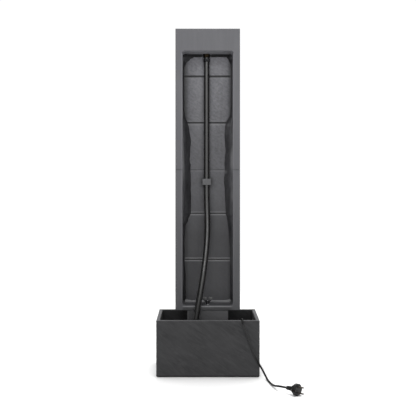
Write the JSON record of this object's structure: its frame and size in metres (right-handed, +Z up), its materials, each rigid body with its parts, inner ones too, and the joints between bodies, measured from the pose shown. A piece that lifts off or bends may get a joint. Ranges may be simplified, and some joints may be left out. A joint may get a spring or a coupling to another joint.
{
  "type": "garden water wall",
  "caption": "Tall free-standing slate-look water wall with an open rear hollow, riser hose, pedestal, rectangular basin, submersible pump and mains plug.",
  "frame": {"origin": "on the floor under the middle of the basin", "axes": "+Z up, +Y to the front where the water runs down, +X to the right as seen from the rear"},
  "size_m": [0.4714, 0.5141, 1.197],
  "materials": {
    "cast_slate": "matt dark slate grain",
    "frame_slate": "smooth matt grey",
    "riven_slate": "riven matt grey",
    "sealant": "rough satin black",
    "clip_plastic": "matt grey",
    "hose_rubber": "satin black",
    "tail_brass": "turned, dulled by water",
    "zinc_steel": "zinc plated",
    "dark_steel": "dark coated",
    "pump_plastic": "moulded black",
    "rotor_plastic": "moulded grey",
    "shaft_ceramic": "polished",
    "cord_rubber": "matt black",
    "plug_plastic": "moulded black",
    "pin_nickel": "nickel plated"
  },
  "bodies": {
    "stand": {"basin": "cast_slate", "pedestal": "cast_slate", "frame_lower": "frame_slate", "frame_upper": "frame_slate", "frame_dowels": "zinc_steel", "slab_1": "riven_slate", "slab_2": "riven_slate", "slab_3": "riven_slate", "slab_4": "riven_slate", "slab_5": "riven_slate", "slab_6": "riven_slate", "left_seal_bead": "sealant", "right_seal_bead": "sealant", "top_seal_bead": "sealant", "sill_seal_bead": "frame_slate", "hose_clip": "clip_plastic", "riser_hose": "hose_rubber", "hose_tail": "tail_brass", "hose_tail_nut": "tail_brass", "top_hose_clamp": "dark_steel", "pump_hose_clamp": "dark_steel", "fixing_bolt": "zinc_steel", "fixing_washer": "zinc_steel", "pump_housing": "pump_plastic", "volute_cover": "pump_plastic", "impeller_shaft": "shaft_ceramic", "shaft_bush": "cord_rubber", "outlet_nipple": "pump_plastic", "suction_feet": "hose_rubber", "pump_gland": "cord_rubber", "mains_cord": "cord_rubber", "plug_body": "plug_plastic", "plug_pins": "pin_nickel", "plug_earth_strips": "pin_nickel"},
    "wing_nut": {"wing_nut": "dark_steel"},
    "impeller": {"impeller": "rotor_plastic"},
    "intake_cover": {"intake_cover": "pump_plastic"},
    "flow_regulator": {"flow_regulator": "rotor_plastic"}
  },
  "joints": [
    {"name": "wing_nut_turn", "type": "hinge", "parent": "stand", "child": "wing_nut", "pos_m": [0, -0.022, 0.238], "axis": [0, 0, 1], "continuous": true},
    {"name": "impeller_spin", "type": "hinge", "parent": "stand", "child": "impeller", "pos_m": [-0.045, -0.079, 0.044], "axis": [1, 0, 0], "continuous": true},
    {"name": "intake_cover_pull", "type": "slide", "parent": "stand", "child": "intake_cover", "axis": [-1, 0, 0], "range_m": [0, 0.045]},
    {"name": "flow_regulator_turn", "type": "hinge", "parent": "intake_cover", "child": "flow_regulator", "pos_m": [-0.089, -0.079, 0.044], "axis": [-1, 0, 0], "range_deg": [0, 22.5]}
  ]
}
